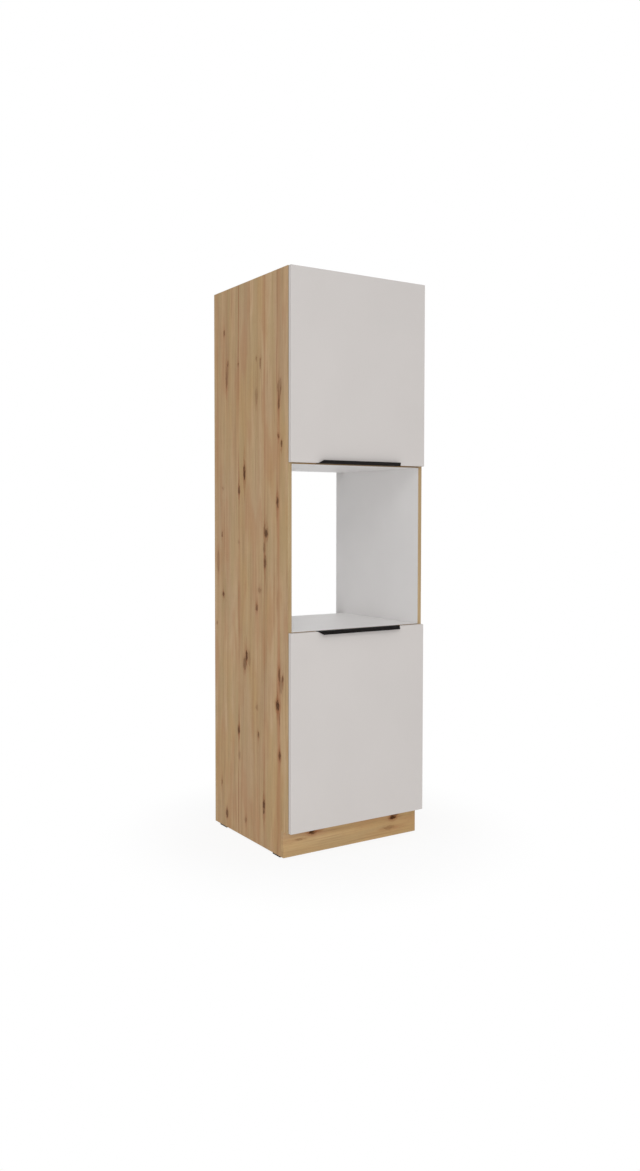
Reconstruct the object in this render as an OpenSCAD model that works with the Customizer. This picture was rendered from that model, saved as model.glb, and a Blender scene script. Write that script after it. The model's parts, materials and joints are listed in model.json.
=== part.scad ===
// Tall oven housing unit: an upper and a lower door with an open oven niche between them.
// Millimetres. +Z is up and the doors face -Y. The origin lies on the floor, at the centre
// of the footprint with the handles counted in.

/* [Unit] */
// Overall width across the side panels
unit_w = 600; // [500:1:700]
// Overall height from the floor
unit_h = 2100; // [2000:1:2300]
// Depth of the carcass without the doors
carcass_d = 553; // [500:1:620]
// Thickness of the carcass boards
board_t = 16; // [15:0.5:19]
// Thickness of the glued front edge bands
band_t = 0.8; // [0.4:0.1:2]

/* [Base] */
// Height of the foot glides under the side panels
foot_h = 5; // [3:0.5:10]
// Length of a foot glide
foot_l = 52; // [30:1:80]
// Width of a foot glide
foot_w = 14; // [10:0.5:15]
// Centre of the front glides behind the carcass front
foot_front_inset = 81; // [75:1:150]
// Centre of the rear glides in front of the back plane
foot_rear_inset = 66; // [40:1:150]
// Height of the plinth board
plinth_h = 95; // [60:1:150]
// Plinth face behind the carcass front
plinth_setback = 30; // [15:1:50]

/* [Niche] */
// Height of the niche floor above the room's floor
niche_floor_z = 818; // [700:1:900]
// Clear height of the oven niche
niche_h = 594; // [560:1:620]
// Air gap between the niche boards and the back plane
vent_gap = 60; // [30:1:90]

/* [Back] */
// Thickness of the back panels
back_t = 3; // [2.5:0.1:4]
// Width of the rebate that holds a back panel
rebate_w = 8; // [6:0.5:9]
// Side play of a back panel in its rebates
back_play = 0.5; // [0.2:0.1:1.5]

/* [Shelves] */
// Front edge of a shelf behind the carcass front
shelf_inset = 30; // [20:1:60]
// Depth of a shelf
shelf_d = 500; // [420:1:510]
// Play of a shelf at each side
shelf_play = 1; // [0.5:0.1:2]
// Diameter of the shelf pins
pin_d = 5; // [4:0.5:6]
// Distance of the shelf pins from the shelf's edges
pin_inset = 40; // [30:1:90]

/* [Doors] */
// Thickness of the doors
door_t = 16; // [16:0.5:19]
// Gap between a closed door and the carcass
door_gap = 1.5; // [1.5:0.1:3]
// Door edge inside the carcass's outer face
door_reveal = 2; // [1:0.1:3]
// Upper door's top edge below the top of the carcass
door_top_drop = 1; // [0.5:0.1:4]
// Upper door's bottom edge above the niche ceiling
upper_door_lift = 5; // [3:0.1:7]
// Lower door's top edge below the niche floor
lower_door_drop = 2; // [2:0.1:5]
// Lower door's bottom edge above the plinth
lower_door_lift = 2.5; // [1:0.1:6]

/* [Handles] */
// Length of a handle along the door edge
handle_l = 367; // [200:1:440]
// Length lost at each end of the lip
handle_taper = 12.5; // [4:0.5:20]
// Reach of the lip in front of the door
lip_reach = 19.5; // [14:0.5:28]
// Lean of the lip, up from level
lip_lean = 30; // [20:1:36]
// Thickness of the handle strip
handle_t = 1.8; // [1.4:0.1:2]
// Distance between the handle screws
handle_screw_pitch = 150; // [60:1:180]

/* [Hinges] */
// Diameter of a hinge cup
cup_d = 35; // [34:0.5:36]
// Depth of a hinge cup
cup_depth = 11.5; // [11.5:0.1:12.5]
// Door edge to the rim of the cup
cup_edge = 5; // [5:0.1:5.5]
// Hinge centre to the door's top or bottom edge
hinge_inset = 100; // [80:1:160]
// Mounting plate centre behind the carcass front
plate_inset = 37; // [36:0.5:40]

/* [Wall fixing] */
// Distance between the two wall fixing holes
wall_hole_pitch = 400; // [250:1:420]
// Diameter of a wall fixing hole
wall_hole_d = 8; // [6:0.5:10]
// Leg of a wall bracket
bracket_leg = 35; // [30:1:50]
// Thickness of a wall bracket
bracket_t = 2; // [1.5:0.1:3]

/* [Hidden] */
fine = 48;
cut = 0.5;
hair = 0.01;

// Colours
oak = [0.72, 0.58, 0.42];
white = [0.92, 0.92, 0.91];
hdf = [0.88, 0.87, 0.85];
front_grey = [0.80, 0.78, 0.77];
black = [0.10, 0.09, 0.09];
steel = [0.72, 0.73, 0.74];
zinc = [0.62, 0.63, 0.65];
beech = [0.80, 0.65, 0.46];
clear_white = [0.93, 0.94, 0.94];

// Main planes of the carcass
overall_d = carcass_d + door_gap + door_t + lip_reach;
y_back = overall_d / 2;
y_front = y_back - carcass_d;
y_door_back = y_front - door_gap;
y_door_front = y_door_back - door_t;
x_out = unit_w / 2;
x_in = x_out - board_t;
y_core = y_front + band_t;
z_base = foot_h;
z_bottom = foot_h + plinth_h;
z_ceiling = niche_floor_z + niche_h;
notch_d = plinth_setback + board_t;

// Fixed boards between the sides: [underside, rear edge, cams open upwards]
BOARD_TOP = [unit_h - board_t, y_back - back_t, false];
BOARD_CEILING = [z_ceiling, y_back - vent_gap, true];
BOARD_FLOOR = [niche_floor_z - board_t, y_back - vent_gap, false];
BOARD_BOTTOM = [z_bottom, y_back - back_t, false];
BOARDS = [BOARD_TOP, BOARD_CEILING, BOARD_FLOOR, BOARD_BOTTOM];

// Knock-down fittings
fit_inset = 60;
dowel_pitch = 32;
dowel_r = 4;
dowel_l = 30;
dowel_in_side = 10;
bore_spare = 1;
cam_r = 7.5;
cam_h = 12.5;
cam_inset = 34;
cam_slot_l = 9;
cam_slot_w = 1.6;
cam_slot_depth = 1.5;
bolt_r = 2.5;
bolt_in_side = 11;
shaft_r = 3.5;
shaft_l = 24;
neck_r = 2;
head_r = 3;
head_l = 5;
bolt_l = 36;
bolt_play = 0.3;
screw_fit = 0.05;
bolt_bore_r = 4;
plinth_dowels_z = [25, 70];
plinth_dowel_in = 10;

// Shelves: each rests halfway up its compartment
shelf_w = 2 * (x_in - shelf_play);
shelf_front = y_front + shelf_inset;
z_shelf_upper = (z_ceiling + board_t + unit_h - board_t) / 2 - board_t / 2;
z_shelf_lower = (z_bottom + board_t + niche_floor_z - board_t) / 2 - board_t / 2;
SHELVES = [z_shelf_upper, z_shelf_lower];
pin_r = pin_d / 2;
pin_hole_depth = 9;
pin_out = 9;
pin_pad_t = 1.5;
pin_pad_w = 8;
pin_hole_pitch = 32;
pin_rows = [-1, 0, 1];

// Back panels: [low edge, high edge]
back_drop = 1;
BACK_UPPER = [z_ceiling + board_t, unit_h - back_drop];
BACK_LOWER = [z_bottom, niche_floor_z - board_t];
back_half_w = x_in + rebate_w - back_play;
nail_r = 0.7;
nail_l = 14;
nail_head_r = 1.6;
nail_head_h = 0.6;
nail_x = x_in + rebate_w / 2;
nail_end = 40;
nails_per_edge = 6;
nails_across = [-0.6, -0.2, 0.2, 0.6];

// Doors: [low edge, high edge, +1 where the handle is at the low edge]
DOOR_UPPER = [z_ceiling + upper_door_lift, unit_h - door_top_drop, 1];
DOOR_LOWER = [z_bottom + lower_door_lift, niche_floor_z - lower_door_drop, -1];
door_half_w = x_out - door_reveal;

// Handle strip: screws go into the door's edge
handle_back = 15;
bend_r = 2.4;
bend_out = 0.6;
bend_steps = 6;
taper_start = 1;
handle_screw_r = 1.5;
handle_screw_head_r = 2.9;
handle_screw_head_h = 1.4;
handle_screw_l = 16;
handle_screw_y = y_door_back - door_t / 2;
handle_screws_x = [-handle_screw_pitch, 0, handle_screw_pitch];

// Hinges, in a frame on the right side panel: s runs inwards from its inner face and
// f runs forwards from the carcass front
overlay = board_t - door_reveal;
cup_r = cup_d / 2;
cup_wall = 1;
cup_floor = 0.9;
cup_s = cup_edge + cup_r - overlay;
flange_t = 0.8;
flange_w = 20;
flange_l = 62;
cup_screw_pitch = 48;
cup_screw_r = 1.75;
cup_screw_head_r = 3.4;
cup_screw_head_h = 1;
cup_screw_l = 11;
plate_t = 3;
plate_l = 44;
plate_w = 16;
wing_l = 18;
wing_w = 50;
plate_screw_pitch = 32;
plate_screw_r = 2.5;
plate_screw_in = 12;
plate_head_r = 4.2;
plate_head_h = 1.2;
// Hinge arm: its width, its rear end behind the carcass front and its top face
arm_h = 12;
arm_back = 60;
arm_top = 11;
arm_chamfer = 3;
arm_shoulder = 12;
// Faces of the neck, off the side panel
neck_faces = [1, 7.5];
neck_bend = 3;
neck_end = 6;
nose_h = 7;
nose_r = 2.1;
pivot_off_side = 3;
pivot_in_cup = 5.5;
pivot = [pivot_off_side, door_gap + pivot_in_cup];
hinge_pin_r = 1;
pin_fit = 0.05;
link_h = 10;
link_t = 2;
cheek_t = 1.2;
eye_r = 2.1;
nose_room = 6;
// Bends of a link's sheet, from its pivot round the cup's rim and into the cup
link_bends = [[10, -4.5], [17, -3], [19, 3]];
arm_screws_f = [-52, -22];
arm_screw_r = 2;
arm_screw_head_r = 3.5;
arm_screw_head_h = 1.6;

// Bumpers on the doors' free edge
bumper_r = 4;
bumper_h = 1.2;
bumper_inset = 22;

// Wall brackets under the top panel
bracket_w = 40;
bracket_hole_out = 22;
bracket_screw_pitch = 20;
bracket_screw_r = 2;
bracket_screw_l = 13;
bracket_head_r = 4;
bracket_head_h = 2;

// Foot glides
foot_chamfer = 1.5;
glide_nail_r = 1.25;
glide_nail_l = 18;
glide_nail_head_r = 3;
glide_nail_head_h = 1;
glide_nail_sink = 1;
FOOT_Y = [y_front + foot_front_inset, y_back - foot_rear_inset];

// Places of the fittings along a fixed board
function cam_ys(b) = [y_front + fit_inset, b[1] - fit_inset];
function dowel_ys(b) = [y_front + fit_inset + dowel_pitch, b[1] - fit_inset - dowel_pitch];
function board_mid(b) = b[0] + board_t / 2;
// Places of the pins under a shelf
function pin_ys() = [shelf_front + pin_inset, shelf_front + shelf_d - pin_inset];
function pin_z(shelf_z) = shelf_z - pin_pad_t - pin_r;
// Heights of the two hinges of a door
function hinge_zs(door) = [door[0] + hinge_inset, door[1] - hinge_inset];
// Heights of the nails along a back panel's edge
function nail_zs(back) = [for (i = [0:nails_per_edge - 1])
    back[0] + nail_end + i * (back[1] - back[0] - 2 * nail_end) / (nails_per_edge - 1)];

// A cylinder from a point along +X or -X
module rod_x(p, r, l, way = 1) {
    translate(p) rotate([0, 90 * way, 0]) cylinder(r = r, h = l, $fn = fine);
}

// A cylinder from a point along +Y or -Y
module rod_y(p, r, l, way = 1) {
    translate(p) rotate([-90 * way, 0, 0]) cylinder(r = r, h = l, $fn = fine);
}

// A cylinder from a point straight up
module rod_z(p, r, l) {
    translate(p) cylinder(r = r, h = l, $fn = fine);
}

// Children at both sides, mirrored from the right one
module both_sides() {
    children();
    mirror([1, 0, 0]) children();
}

// ---- Carcass boards ----

// Bores for the cam bolts, dowels and shelf pins in the right side panel
module side_bores() {
    for (b = BOARDS) {
        for (y = cam_ys(b))
            rod_x([x_in - cut, y, board_mid(b)], bolt_r + screw_fit,
                  bolt_in_side + bore_spare + cut);
        for (y = dowel_ys(b))
            rod_x([x_in - cut, y, board_mid(b)], dowel_r, dowel_in_side + bore_spare + cut);
    }
    for (z = SHELVES, y = pin_ys(), row = pin_rows)
        rod_x([x_in - cut, y, pin_z(z) + row * pin_hole_pitch], pin_r, pin_hole_depth + cut);
    for (z = plinth_dowels_z)
        rod_y([x_out - board_t / 2, y_front + notch_d - cut, z_base + z],
              dowel_r, dowel_l - plinth_dowel_in + bore_spare + cut);
    for (back = [BACK_UPPER, BACK_LOWER], z = nail_zs(back))
        rod_y([nail_x, y_back - back_t + cut, z], nail_r, nail_l - back_t + cut, -1);
    for (y = FOOT_Y)
        rod_z([x_out - board_t / 2, y, z_base - cut], glide_nail_r, glide_nail_l + cut);
}

// Bores for the hinge plates, in the right side panel only
module plate_bores() {
    for (door = [DOOR_UPPER, DOOR_LOWER], z = hinge_zs(door), k = [-1, 1])
        rod_x([x_in - cut, y_front + plate_inset, z + k * plate_screw_pitch / 2],
              plate_screw_r, plate_screw_in + cut);
}

// The right side panel with its toe notch and its rebate for the backs
module side_panel(hinged) {
    difference() {
        translate([x_in, y_core, z_base])
            cube([board_t, y_back - y_core, unit_h - z_base]);
        translate([x_in - cut, y_core - cut, z_base - cut])
            cube([board_t + 2 * cut, notch_d - band_t + cut, plinth_h + cut]);
        translate([x_in - cut, y_back - back_t, z_base - cut])
            cube([rebate_w + cut, back_t + cut, unit_h]);
        side_bores();
        if (hinged) plate_bores();
    }
}

module side_panel_left() {
    color(oak) mirror([1, 0, 0]) side_panel(false);
}

module side_panel_right() {
    color(oak) side_panel(true);
}

// A fixed board with its cam pockets, bolt bores and dowel bores
module fixed_board(b) {
    difference() {
        translate([-x_in, y_core, b[0]]) cube([2 * x_in, b[1] - y_core, board_t]);
        both_sides() {
            for (y = cam_ys(b)) {
                rod_x([x_in + cut, y, board_mid(b)], bolt_bore_r, cam_inset + cut, -1);
                rod_z([x_in - cam_inset, y, b[2] ? b[0] + board_t - cam_h : b[0] - cut],
                      cam_r, cam_h + cut);
            }
            for (y = dowel_ys(b))
                rod_x([x_in + cut, y, board_mid(b)],
                      dowel_r, dowel_l - dowel_in_side + bore_spare + cut, -1);
        }
    }
}

module top_panel() {
    color(white) difference() {
        fixed_board(BOARD_TOP);
        for (x = bracket_xs(), k = [-1, 1])
            rod_z([x + k * bracket_screw_pitch / 2, y_back - back_t - bracket_hole_out,
                   BOARD_TOP[0] - cut], bracket_screw_r, bracket_screw_l - bracket_t + cut);
        edge_nail_bores(board_mid(BOARD_TOP));
    }
}

module bottom_panel() {
    color(white) difference() {
        fixed_board(BOARD_BOTTOM);
        edge_nail_bores(board_mid(BOARD_BOTTOM));
    }
}

module niche_floor_board() {
    color(white) fixed_board(BOARD_FLOOR);
}

module niche_ceiling_board() {
    color(white) fixed_board(BOARD_CEILING);
}

// A loose shelf that rests on four pins
module shelf(z) {
    translate([-shelf_w / 2, shelf_front + band_t, z])
        cube([shelf_w, shelf_d - band_t, board_t]);
}

module upper_shelf() {
    color(white) shelf(z_shelf_upper);
}

module lower_shelf() {
    color(white) shelf(z_shelf_lower);
}

// The plinth closes the toe notch and covers the front ends of both side panels
module plinth_board() {
    color(oak) difference() {
        translate([-x_out, y_front + plinth_setback, z_base])
            cube([unit_w, board_t, plinth_h]);
        both_sides() for (z = plinth_dowels_z)
            rod_y([x_out - board_t / 2, y_front + notch_d + cut, z_base + z],
                  dowel_r, plinth_dowel_in + cut, -1);
    }
}

// ---- Edge bands ----

module side_edge_bands() {
    color(oak) both_sides()
        translate([x_in, y_front, z_bottom]) cube([board_t, band_t, unit_h - z_bottom]);
}

module board_edge_bands() {
    color(oak) for (b = BOARDS)
        translate([-x_in, y_front, b[0]]) cube([2 * x_in, band_t, board_t]);
}

module shelf_edge_bands() {
    color(white) for (z = SHELVES)
        translate([-shelf_w / 2, shelf_front, z]) cube([shelf_w, band_t, board_t]);
}

// ---- Back panels ----

// Nail shafts into the rear edge of a board
module edge_nail_bores(z) {
    for (k = nails_across)
        rod_y([k * x_in, y_back - back_t + cut, z], nail_r, nail_l - back_t + cut, -1);
}

// Nail places of one back panel: both upright edges and the board at one end
function nail_places(back, board_z) = concat(
    [for (s = [-1, 1], z = nail_zs(back)) [s * nail_x, z]],
    [for (k = nails_across) [k * x_in, board_z]]);

module back_panel(back, board_z) {
    difference() {
        translate([-back_half_w, y_back - back_t, back[0]])
            cube([2 * back_half_w, back_t, back[1] - back[0]]);
        for (p = nail_places(back, board_z)) {
            rod_y([p[0], y_back + cut, p[1]], nail_r, back_t + 2 * cut, -1);
            rod_y([p[0], y_back + cut, p[1]], nail_head_r, nail_head_h + cut, -1);
        }
    }
}

module back_panel_upper() {
    color(hdf) difference() {
        back_panel(BACK_UPPER, board_mid(BOARD_TOP));
        for (x = bracket_xs())
            rod_y([x, y_back - back_t - cut, wall_hole_z()], wall_hole_d / 2, back_t + 2 * cut);
    }
}

module back_panel_lower() {
    color(hdf) back_panel(BACK_LOWER, board_mid(BOARD_BOTTOM));
}

module back_nails() {
    color(steel) {
        for (p = nail_places(BACK_UPPER, board_mid(BOARD_TOP))) back_nail(p);
        for (p = nail_places(BACK_LOWER, board_mid(BOARD_BOTTOM))) back_nail(p);
    }
}

module back_nail(p) {
    rod_y([p[0], y_back, p[1]], nail_head_r, nail_head_h, -1);
    rod_y([p[0], y_back, p[1]], nail_r, nail_l, -1);
}

// ---- Knock-down fittings ----

module cam_housings() {
    color(zinc) both_sides() for (b = BOARDS, y = cam_ys(b)) difference() {
        rod_z([x_in - cam_inset, y, b[2] ? b[0] + board_t - cam_h : b[0]], cam_r, cam_h);
        rod_x([x_in - cam_inset + cam_r + cut, y, board_mid(b)],
              head_r + bolt_play, cam_r + cut + bolt_l - cam_inset + bolt_play, -1);
        // Cross slot for the screwdriver, in the open face
        translate([x_in - cam_inset, y, b[2] ? b[0] + board_t : b[0]])
            for (a = [45, -45]) rotate([0, 0, a])
                cube([cam_slot_l, cam_slot_w, 2 * cam_slot_depth], center = true);
    }
}

module cam_bolts() {
    color(steel) both_sides() for (b = BOARDS, y = cam_ys(b)) {
        z = board_mid(b);
        rod_x([x_in, y, z], bolt_r, bolt_in_side);
        rod_x([x_in, y, z], shaft_r, shaft_l, -1);
        rod_x([x_in, y, z], neck_r, bolt_l, -1);
        rod_x([x_in - bolt_l + head_l, y, z], head_r, head_l, -1);
    }
}

module dowels() {
    color(beech) both_sides() {
        for (b = BOARDS, y = dowel_ys(b))
            rod_x([x_in + dowel_in_side, y, board_mid(b)], dowel_r, dowel_l, -1);
        for (z = plinth_dowels_z)
            rod_y([x_out - board_t / 2, y_front + notch_d - plinth_dowel_in, z_base + z],
                  dowel_r, dowel_l);
    }
}

// A pin in the side panel with a flat pad under the shelf
module shelf_pins() {
    color(steel) both_sides() for (z = SHELVES, y = pin_ys()) {
        rod_x([x_in + pin_hole_depth - bore_spare, y, pin_z(z)],
              pin_r, pin_hole_depth - bore_spare + pin_out, -1);
        translate([x_in - pin_out, y - pin_pad_w / 2, z - pin_pad_t])
            cube([pin_out, pin_pad_w, pin_pad_t]);
    }
}

// ---- Feet and wall fixing ----

module foot_glides() {
    color(black) both_sides() for (y = FOOT_Y) difference() {
        translate([x_out - (board_t - foot_w) / 2, y, 0]) rotate([0, -90, 0])
            linear_extrude(foot_w) polygon([
                [foot_h, -foot_l / 2], [foot_chamfer, -foot_l / 2],
                [0, -foot_l / 2 + foot_chamfer], [0, foot_l / 2 - foot_chamfer],
                [foot_chamfer, foot_l / 2], [foot_h, foot_l / 2]]);
        rod_z([x_out - board_t / 2, y, -cut], glide_nail_r, foot_h + 2 * cut);
        rod_z([x_out - board_t / 2, y, -cut], glide_nail_head_r,
              glide_nail_sink + glide_nail_head_h + cut);
    }
}

module glide_nails() {
    color(steel) both_sides() for (y = FOOT_Y) {
        rod_z([x_out - board_t / 2, y, glide_nail_sink], glide_nail_head_r, glide_nail_head_h);
        rod_z([x_out - board_t / 2, y, glide_nail_sink], glide_nail_r,
              foot_h + glide_nail_l - glide_nail_sink);
    }
}

function bracket_xs() = [-wall_hole_pitch / 2, wall_hole_pitch / 2];
function wall_hole_z() = BOARD_TOP[0] - bracket_hole_out;

module wall_brackets() {
    color(steel) for (x = bracket_xs()) difference() {
        union() {
            translate([x - bracket_w / 2, y_back - back_t - bracket_leg, BOARD_TOP[0] - bracket_t])
                cube([bracket_w, bracket_leg, bracket_t]);
            translate([x - bracket_w / 2, y_back - back_t - bracket_t, BOARD_TOP[0] - bracket_leg])
                cube([bracket_w, bracket_t, bracket_leg]);
        }
        rod_y([x, y_back - back_t - bracket_t - cut, wall_hole_z()],
              wall_hole_d / 2, bracket_t + 2 * cut);
        for (k = [-1, 1])
            rod_z([x + k * bracket_screw_pitch / 2, y_back - back_t - bracket_hole_out,
                   BOARD_TOP[0] - bracket_t - cut], bracket_screw_r, bracket_t + 2 * cut);
    }
}

module bracket_screws() {
    color(steel) for (x = bracket_xs(), k = [-1, 1]) {
        y = y_back - back_t - bracket_hole_out;
        z = BOARD_TOP[0] - bracket_t;
        rod_z([x + k * bracket_screw_pitch / 2, y, z - bracket_head_h],
              bracket_head_r, bracket_head_h);
        rod_z([x + k * bracket_screw_pitch / 2, y, z - bracket_head_h],
              bracket_screw_r, bracket_head_h + bracket_screw_l);
    }
}

// ---- Hinges ----

// The hinge frame at one hinge: +X is s and +Y is f
module at_hinge(z) {
    translate([x_in, y_front, z]) rotate([0, 0, 180]) children();
}

// Children at every hinge on the side panel
module at_all_hinges() {
    for (door = [DOOR_UPPER, DOOR_LOWER], z = hinge_zs(door)) at_hinge(z) children();
}

// A plate of a given height, centred on the hinge, from an outline in s and f
module slab(h) {
    translate([0, 0, -h / 2]) linear_extrude(h) children();
}

module hinge_plates() {
    color(steel) at_all_hinges() difference() {
        union() {
            translate([0, -plate_inset - plate_l / 2, -plate_w / 2])
                cube([plate_t, plate_l, plate_w]);
            translate([0, -plate_inset - wing_l / 2, -wing_w / 2])
                cube([plate_t, wing_l, wing_w]);
        }
        for (k = [-1, 1])
            rod_x([-cut, -plate_inset, k * plate_screw_pitch / 2], plate_screw_r, plate_t + 2 * cut);
        rod_x([-cut, arm_screws_f[0], 0], arm_screw_r, plate_t + 2 * cut);
        rod_x([-cut, arm_screws_f[1], 0], arm_screw_r, plate_t + 2 * cut);
    }
}

module plate_screws() {
    color(steel) at_all_hinges() for (k = [-1, 1]) {
        z = k * plate_screw_pitch / 2;
        rod_x([plate_t, -plate_inset, z], plate_head_r, plate_head_h);
        rod_x([plate_t, -plate_inset, z], plate_screw_r, plate_t + plate_screw_in, -1);
    }
}

// Outline of the hinge arm, from its rear end to the end of the neck behind the pivot
neck_f = pivot[1] - neck_end;
arm_outline = [
    [plate_t, -arm_back], [arm_top - arm_chamfer, -arm_back], [arm_top, -arm_back + arm_chamfer],
    [arm_top, -arm_shoulder], [neck_faces[1], neck_f], [neck_faces[0], neck_f],
    [neck_faces[0], -neck_bend], [plate_t, -arm_shoulder]];
// The nose goes on from the neck to the pivot
nose_outline = [
    [neck_faces[1], neck_f], [pivot[0] + nose_r, pivot[1]], [pivot[0] - nose_r, pivot[1]],
    [neck_faces[0], neck_f]];

module hinge_arms() {
    color(steel) at_all_hinges() difference() {
        union() {
            slab(arm_h) polygon(arm_outline);
            slab(nose_h) polygon(nose_outline);
            translate([pivot[0], pivot[1], -nose_h / 2])
                cylinder(r = nose_r, h = nose_h, $fn = fine);
        }
        translate([pivot[0], pivot[1], -arm_h])
            cylinder(r = hinge_pin_r, h = 2 * arm_h, $fn = fine);
        for (f = arm_screws_f) rod_x([0, f, 0], arm_screw_r, arm_top + cut);
    }
}

module arm_screws() {
    color(zinc) at_all_hinges() for (f = arm_screws_f) {
        rod_x([0, f, 0], arm_screw_r, arm_top);
        rod_x([arm_top, f, 0], arm_screw_head_r, arm_screw_head_h);
    }
}

module hinge_pins() {
    color(zinc) at_all_hinges()
        translate([pivot[0], pivot[1], -link_h / 2])
            cylinder(r = hinge_pin_r, h = link_h, $fn = fine);
}

function unit(v) = v / norm(v);
function left_of(v) = [-v[1], v[0]];
// The way to step sideways from point i of a path, longer at a bend so that the sheet keeps
// its thickness
function side_step(p, i) =
    i == 0 ? left_of(unit(p[1] - p[0])) :
    i == len(p) - 1 ? left_of(unit(p[i] - p[i - 1])) :
    let (before = left_of(unit(p[i] - p[i - 1])), after = left_of(unit(p[i + 1] - p[i])),
         mid = unit(before + after)) mid / (mid * before);

// The edge of a bent sheet, seen from above
module bent_strip(p, t) {
    last = len(p) - 1;
    polygon(concat([for (i = [0:last]) p[i] + t / 2 * side_step(p, i)],
                   [for (i = [last:-1:0]) p[i] - t / 2 * side_step(p, i)]));
}

// A link: a bent sheet that folds into the cup, with two cheeks beside the arm's nose
module hinge_link() {
    translate([pivot[0], pivot[1], 0]) difference() {
        union() {
            slab(link_h) bent_strip(concat([[0, 0]], link_bends), link_t);
            translate([0, 0, -link_h / 2]) cylinder(r = eye_r, h = link_h, $fn = fine);
        }
        translate([-nose_room, -nose_room, cheek_t - link_h / 2])
            cube([2 * nose_room, 2 * nose_room, link_h - 2 * cheek_t]);
        translate([0, 0, -link_h]) cylinder(r = hinge_pin_r + pin_fit, h = 2 * link_h, $fn = fine);
    }
}

module hinge_links_upper() {
    color(steel) for (z = hinge_zs(DOOR_UPPER)) at_hinge(z) hinge_link();
}

module hinge_links_lower() {
    color(steel) for (z = hinge_zs(DOOR_LOWER)) at_hinge(z) hinge_link();
}

// ---- Doors ----

// The door leaf with its cup bores and pilot holes
module door(d) {
    edge = d[2] > 0 ? d[0] : d[1];
    difference() {
        translate([-door_half_w, y_door_front, d[0]])
            cube([2 * door_half_w, door_t, d[1] - d[0]]);
        for (z = hinge_zs(d)) at_hinge(z) {
            rod_y([cup_s, door_gap - cut, 0], cup_r, cup_depth + cut);
            for (k = [-1, 1])
                rod_y([cup_s, door_gap - cut, k * cup_screw_pitch / 2], cup_screw_r, cup_screw_l + cut);
        }
        for (x = handle_screws_x)
            rod_z([x, handle_screw_y, d[2] > 0 ? edge - cut : edge - handle_screw_l - handle_t],
                  handle_screw_r, handle_screw_l + handle_t + cut);
    }
}

module door_upper() {
    color(front_grey) door(DOOR_UPPER);
}

module door_lower() {
    color(front_grey) door(DOOR_LOWER);
}

// Cup, mouth and flange of every hinge on one door
module hinge_cups(d) {
    for (z = hinge_zs(d)) at_hinge(z) difference() {
        union() {
            rod_y([cup_s, door_gap, 0], cup_r, cup_depth);
            translate([cup_s - flange_w / 2, door_gap - flange_t, -flange_l / 2])
                cube([flange_w, flange_t, flange_l]);
        }
        rod_y([cup_s, door_gap - flange_t - cut, 0], cup_r - cup_wall,
              cup_depth - cup_floor + flange_t + cut);
        for (k = [-1, 1])
            rod_y([cup_s, door_gap - flange_t - cut, k * cup_screw_pitch / 2],
                  cup_screw_r, flange_t + 2 * cut);
    }
}

module hinge_cups_upper() {
    color(steel) hinge_cups(DOOR_UPPER);
}

module hinge_cups_lower() {
    color(steel) hinge_cups(DOOR_LOWER);
}

module cup_screws(d) {
    for (z = hinge_zs(d), k = [-1, 1]) at_hinge(z) {
        f = door_gap - flange_t;
        rod_y([cup_s, f - cup_screw_head_h, k * cup_screw_pitch / 2], cup_screw_head_r, cup_screw_head_h);
        rod_y([cup_s, f, k * cup_screw_pitch / 2], cup_screw_r, flange_t + cup_screw_l);
    }
}

module cup_screws_upper() {
    color(zinc) cup_screws(DOOR_UPPER);
}

module cup_screws_lower() {
    color(zinc) cup_screws(DOOR_LOWER);
}

// Points of an arc
function arc(c, r, a0, a1, n) = [for (i = [0:n]) c + r * [cos(a0 + (a1 - a0) * i / n),
                                                          sin(a0 + (a1 - a0) * i / n)]];

// Section of the handle strip: x is forward of the door front, y is up from the edge.
// A flat flange lies on the door's edge, then the sheet bends into a leaning lip.
bend_c = [bend_out, bend_r];
outer_bend = arc(bend_c, bend_r + handle_t, -90, -90 + lip_lean, bend_steps);
inner_bend = arc(bend_c, bend_r, -90 + lip_lean, -90, bend_steps);
lip_start = outer_bend[bend_steps];
lip_run = (lip_reach - lip_start[0]) / cos(lip_lean);
lip_tip = lip_start + lip_run * [cos(lip_lean), sin(lip_lean)];
lip_edge = lip_tip + handle_t * [-sin(lip_lean), cos(lip_lean)];
handle_h = handle_t + lip_edge[1];

module handle_section() {
    polygon(concat(
        [[-handle_back, -handle_t]], outer_bend,
        [lip_tip, lip_edge],
        inner_bend, [[-handle_back, 0]]));
}

// Plan of the strip: its ends slant in along the lip
module handle_plan() {
    half = handle_l / 2;
    polygon([[-half, handle_back], [half, handle_back], [half, -taper_start],
             [half - handle_taper, -lip_reach], [-half + handle_taper, -lip_reach],
             [-half, -taper_start]]);
}

// The handle of one door, drawn for the low edge and mirrored for the high one
module handle(d) {
    translate([0, y_door_front, d[2] > 0 ? d[0] : d[1]]) mirror([0, 0, d[2] > 0 ? 0 : 1])
        difference() {
            intersection() {
                translate([handle_l / 2, 0, 0]) rotate([90, 0, -90])
                    linear_extrude(handle_l) handle_section();
                translate([0, 0, -handle_t - cut]) linear_extrude(handle_h + 2 * cut) handle_plan();
            }
            for (x = handle_screws_x) {
                rod_z([x, handle_screw_y - y_door_front, -handle_t - cut],
                      handle_screw_r, handle_t + 2 * cut);
                translate([x, handle_screw_y - y_door_front, -handle_t - hair])
                    cylinder(r1 = handle_screw_head_r + screw_fit, r2 = handle_screw_r + screw_fit,
                             h = handle_screw_head_h, $fn = fine);
            }
        }
}

module handle_upper() {
    color(black) handle(DOOR_UPPER);
}

module handle_lower() {
    color(black) handle(DOOR_LOWER);
}

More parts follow.
